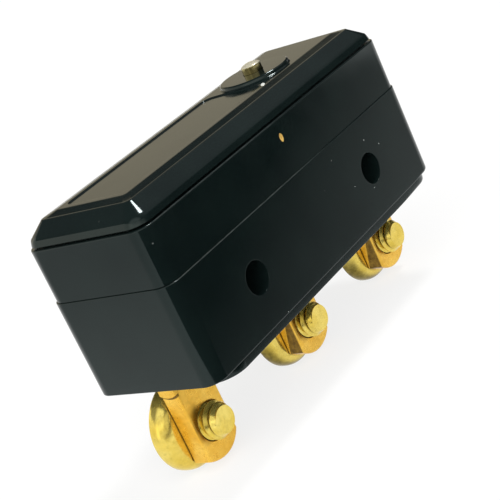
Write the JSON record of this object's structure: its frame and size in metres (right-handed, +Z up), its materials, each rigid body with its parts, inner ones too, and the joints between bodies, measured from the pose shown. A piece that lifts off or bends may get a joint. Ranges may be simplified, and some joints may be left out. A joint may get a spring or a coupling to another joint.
{
  "type": "snap action switch",
  "caption": "Block-shaped snap action switch with a pin plunger on top and brass screw terminals with cup washers below.",
  "frame": {"origin": "midway between the two mounting holes, at mid width of the case", "axes": "+X along the case towards the plunger end, +Y across it towards the terminal screws' heads, +Z up towards the plunger"},
  "size_m": [0.0508, 0.0174, 0.0336],
  "materials": {
    "case_black": "glossy black thermoset moulding",
    "pin_nickel": "turned, bright",
    "button_phenolic": "brown moulded insulator",
    "blade_copper": "rolled spring copper alloy",
    "contact_silver": "headed silver contact",
    "terminal_brass": "stamped, satin",
    "screw_brass": "pale plated, satin"
  },
  "bodies": {
    "case": {"top_cover": "case_black", "upper_housing": "case_black", "base_housing": "case_black", "blade_rivet": "terminal_brass", "spring_anchor": "terminal_brass", "common_terminal": "terminal_brass", "normally_open_terminal": "terminal_brass", "normally_closed_terminal": "terminal_brass", "normally_open_contact": "contact_silver", "normally_closed_contact": "contact_silver"},
    "plunger": {"plunger_pin": "pin_nickel", "plunger_button": "button_phenolic"},
    "blade": {"snap_blade": "blade_copper", "moving_contact": "contact_silver"},
    "common_clamp": {"common_cup_washer": "screw_brass"},
    "common_driver": {"common_screw": "screw_brass"},
    "normally_open_clamp": {"normally_open_cup_washer": "screw_brass"},
    "normally_open_driver": {"normally_open_screw": "screw_brass"},
    "normally_closed_clamp": {"normally_closed_cup_washer": "screw_brass"},
    "normally_closed_driver": {"normally_closed_screw": "screw_brass"}
  },
  "joints": [
    {"name": "plunger_press", "type": "slide", "parent": "case", "child": "plunger", "axis": [0, 0, -1], "range_m": [0, 0.0005], "stiffness_N_per_m": 5000},
    {"name": "blade_swing", "type": "hinge", "parent": "case", "child": "blade", "pos_m": [-0.017, 0, 0.0073], "axis": [0, 1, 0], "range_deg": [0, 1.03]},
    {"name": "common_clamp_lift", "type": "slide", "parent": "case", "child": "common_clamp", "axis": [0, 1, 0], "range_m": [0, 0.00159]},
    {"name": "common_screw_turn", "type": "hinge", "parent": "common_clamp", "child": "common_driver", "pos_m": [-0.0202, 0.0018, -0.0121], "axis": [0, 1, 0], "range_deg": [0, 721]},
    {"name": "normally_open_clamp_lift", "type": "slide", "parent": "case", "child": "normally_open_clamp", "axis": [0, 1, 0], "range_m": [0, 0.00159]},
    {"name": "normally_open_screw_turn", "type": "hinge", "parent": "normally_open_clamp", "child": "normally_open_driver", "pos_m": [0.0002, 0.0018, -0.0121], "axis": [0, 1, 0], "range_deg": [0, 721]},
    {"name": "normally_closed_clamp_lift", "type": "slide", "parent": "case", "child": "normally_closed_clamp", "axis": [0, 1, 0], "range_m": [0, 0.00159]},
    {"name": "normally_closed_screw_turn", "type": "hinge", "parent": "normally_closed_clamp", "child": "normally_closed_driver", "pos_m": [0.0202, 0.0018, -0.0121], "axis": [0, 1, 0], "range_deg": [0, 721]}
  ],
  "couplings": [
    {"joint": "blade_swing", "follows": "plunger_press", "rad_per_m": 35.842},
    {"joint": "common_screw_turn", "follows": "common_clamp_lift", "rad_per_m": 7915.8},
    {"joint": "normally_open_screw_turn", "follows": "normally_open_clamp_lift", "rad_per_m": 7915.8},
    {"joint": "normally_closed_screw_turn", "follows": "normally_closed_clamp_lift", "rad_per_m": 7915.8}
  ]
}
